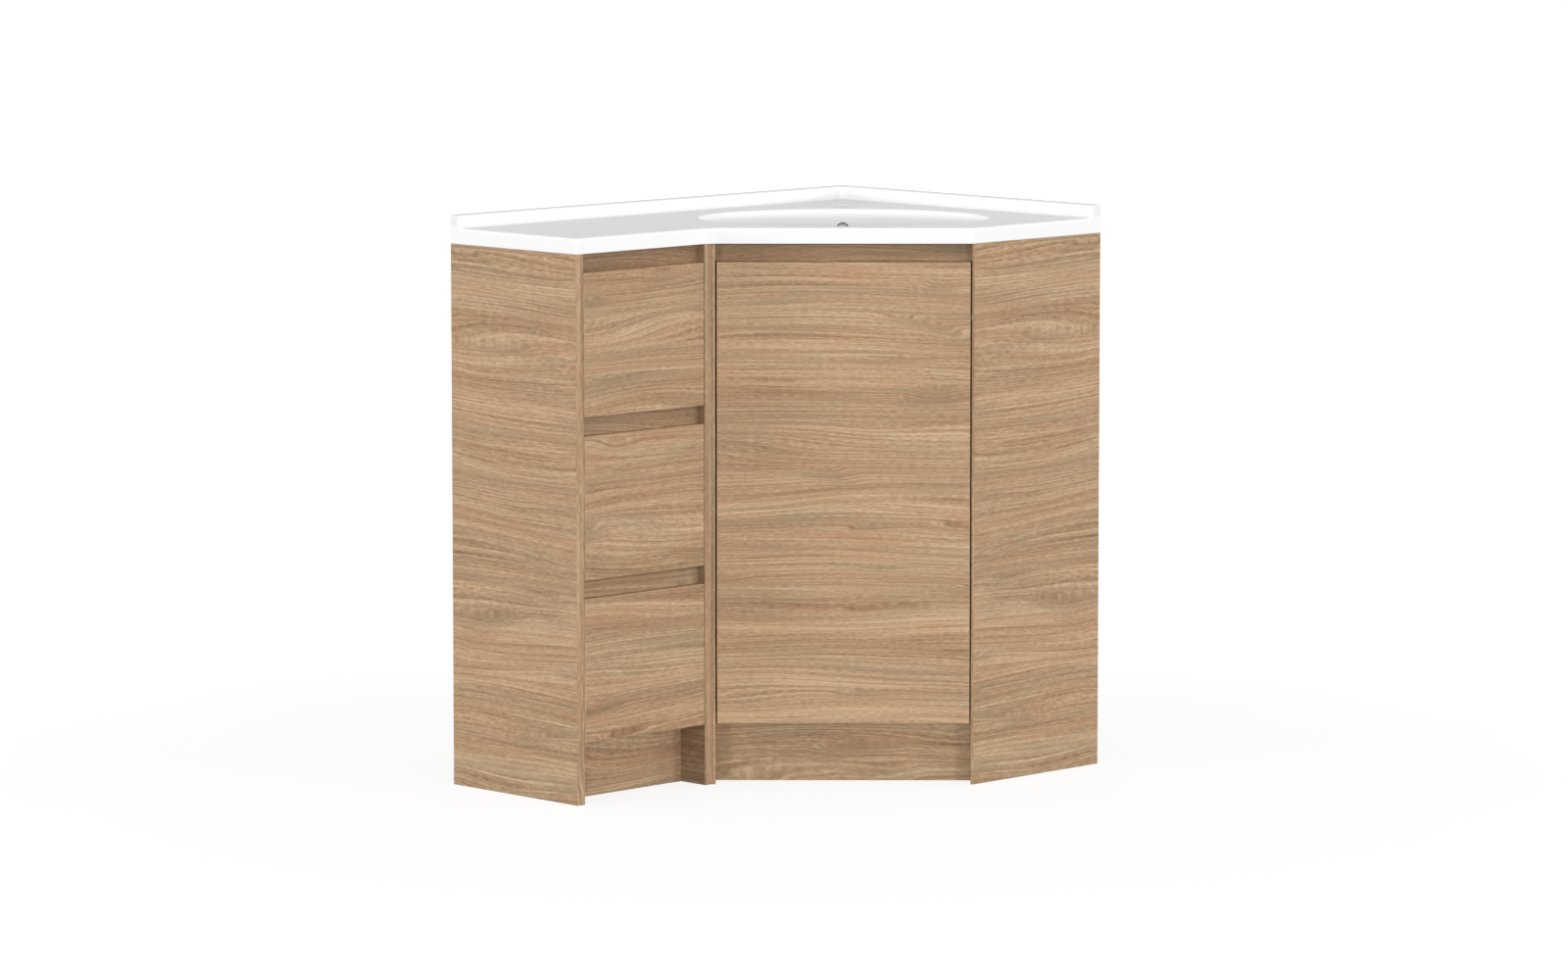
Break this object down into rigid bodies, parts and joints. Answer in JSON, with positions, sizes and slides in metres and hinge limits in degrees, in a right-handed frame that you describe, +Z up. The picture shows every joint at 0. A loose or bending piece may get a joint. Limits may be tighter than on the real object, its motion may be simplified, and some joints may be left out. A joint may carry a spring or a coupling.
{
  "type": "corner vanity unit",
  "caption": "Floor-standing corner vanity unit with a diagonal door, a bank of drawers beside it and a one-piece moulded top with an oval basin.",
  "frame": {"origin": "middle of the footprint's box, on the floor", "axes": "+Z up, +Y towards the long wall, +X towards the short wall; the room corner is at +X +Y and the door faces -X -Y"},
  "size_m": [0.9045, 0.6, 0.933],
  "materials": {
    "oak_laminate": "matt oak-look laminate, grain level",
    "drawer_box_laminate": "matt off-white laminate",
    "hardboard": "smooth hardboard",
    "softwood": "planed softwood",
    "moulded_stone": "gloss white gel coat",
    "chrome_trim": "polished",
    "nickelled_steel": "nickel plated",
    "white_coated_steel": "white powder coat",
    "roller_nylon": "natural nylon",
    "stop_plastic": "moulded plastic"
  },
  "bodies": {
    "carcass": {"left_end_panel": "oak_laminate", "drawer_right_panel": "oak_laminate", "corner_left_panel": "oak_laminate", "right_end_panel": "oak_laminate", "drawer_back_panel": "hardboard", "corner_back_long": "hardboard", "corner_back_short": "hardboard", "drawer_floor_panel": "oak_laminate", "corner_floor_panel": "oak_laminate", "drawer_toe_kick": "oak_laminate", "corner_toe_kick": "oak_laminate", "drawer_rail_top": "oak_laminate", "drawer_rail_middle": "oak_laminate", "drawer_rail_lower": "oak_laminate", "door_rail_top": "oak_laminate", "corner_shelf": "oak_laminate", "shelf_pins": "nickelled_steel", "corner_post": "softwood", "fixing_rail_long": "softwood", "fixing_rail_short": "softwood", "fixing_rail_drawers": "softwood", "connector_bolts": "nickelled_steel", "vanity_top": "moulded_stone", "overflow_ring": "chrome_trim", "top_brackets": "nickelled_steel", "hinge_plates": "nickelled_steel", "hinge_arms": "nickelled_steel", "door_stops": "stop_plastic", "top_runner_tracks": "white_coated_steel", "middle_runner_tracks": "white_coated_steel", "lower_runner_tracks": "white_coated_steel"},
    "door": {"door_leaf": "oak_laminate", "hinge_cups": "nickelled_steel", "hinge_pins": "nickelled_steel"},
    "top_drawer": {"top_drawer_front": "oak_laminate", "top_drawer_left": "drawer_box_laminate", "top_drawer_right": "drawer_box_laminate", "top_drawer_back": "drawer_box_laminate", "top_drawer_bottom": "hardboard", "top_drawer_slides": "white_coated_steel"},
    "top_front_rollers": {"top_front_rollers": "roller_nylon"},
    "top_rear_rollers": {"top_rear_rollers": "roller_nylon"},
    "middle_drawer": {"middle_drawer_front": "oak_laminate", "middle_drawer_left": "drawer_box_laminate", "middle_drawer_right": "drawer_box_laminate", "middle_drawer_back": "drawer_box_laminate", "middle_drawer_bottom": "hardboard", "middle_drawer_slides": "white_coated_steel"},
    "middle_front_rollers": {"middle_front_rollers": "roller_nylon"},
    "middle_rear_rollers": {"middle_rear_rollers": "roller_nylon"},
    "lower_drawer": {"lower_drawer_front": "oak_laminate", "lower_drawer_left": "drawer_box_laminate", "lower_drawer_right": "drawer_box_laminate", "lower_drawer_back": "drawer_box_laminate", "lower_drawer_bottom": "hardboard", "lower_drawer_slides": "white_coated_steel"},
    "lower_front_rollers": {"lower_front_rollers": "roller_nylon"},
    "lower_rear_rollers": {"lower_rear_rollers": "roller_nylon"}
  },
  "joints": [
    {"name": "door_hinge", "type": "hinge", "parent": "carcass", "child": "door", "pos_m": [0.14229, -0.28055, 0.478], "axis": [0, 0, 1], "range_deg": [0, 95]},
    {"name": "top_drawer_slide", "type": "slide", "parent": "carcass", "child": "top_drawer", "axis": [0, -1, 0], "range_m": [0, 0.19]},
    {"name": "top_front_roller_spin", "type": "hinge", "parent": "carcass", "child": "top_front_rollers", "pos_m": [-0.3, 0.032, 0.6577], "axis": [1, 0, 0], "range_deg": [0, 1440]},
    {"name": "top_rear_roller_spin", "type": "hinge", "parent": "top_drawer", "child": "top_rear_rollers", "pos_m": [-0.3, 0.258, 0.6567], "axis": [1, 0, 0], "range_deg": [0, 1440]},
    {"name": "middle_drawer_slide", "type": "slide", "parent": "carcass", "child": "middle_drawer", "axis": [0, -1, 0], "range_m": [0, 0.19]},
    {"name": "middle_front_roller_spin", "type": "hinge", "parent": "carcass", "child": "middle_front_rollers", "pos_m": [-0.3, 0.032, 0.3957], "axis": [1, 0, 0], "range_deg": [0, 1440]},
    {"name": "middle_rear_roller_spin", "type": "hinge", "parent": "middle_drawer", "child": "middle_rear_rollers", "pos_m": [-0.3, 0.258, 0.3947], "axis": [1, 0, 0], "range_deg": [0, 1440]},
    {"name": "lower_drawer_slide", "type": "slide", "parent": "carcass", "child": "lower_drawer", "axis": [0, -1, 0], "range_m": [0, 0.19]},
    {"name": "lower_front_roller_spin", "type": "hinge", "parent": "carcass", "child": "lower_front_rollers", "pos_m": [-0.3, 0.032, 0.1337], "axis": [1, 0, 0], "range_deg": [0, 1440]},
    {"name": "lower_rear_roller_spin", "type": "hinge", "parent": "lower_drawer", "child": "lower_rear_rollers", "pos_m": [-0.3, 0.258, 0.1327], "axis": [1, 0, 0], "range_deg": [0, 1440]}
  ],
  "couplings": [
    {"joint": "top_front_roller_spin", "follows": "top_drawer_slide", "rad_per_m": 125},
    {"joint": "top_rear_roller_spin", "follows": "top_drawer_slide", "rad_per_m": 125},
    {"joint": "middle_front_roller_spin", "follows": "middle_drawer_slide", "rad_per_m": 125},
    {"joint": "middle_rear_roller_spin", "follows": "middle_drawer_slide", "rad_per_m": 125},
    {"joint": "lower_front_roller_spin", "follows": "lower_drawer_slide", "rad_per_m": 125},
    {"joint": "lower_rear_roller_spin", "follows": "lower_drawer_slide", "rad_per_m": 125}
  ]
}
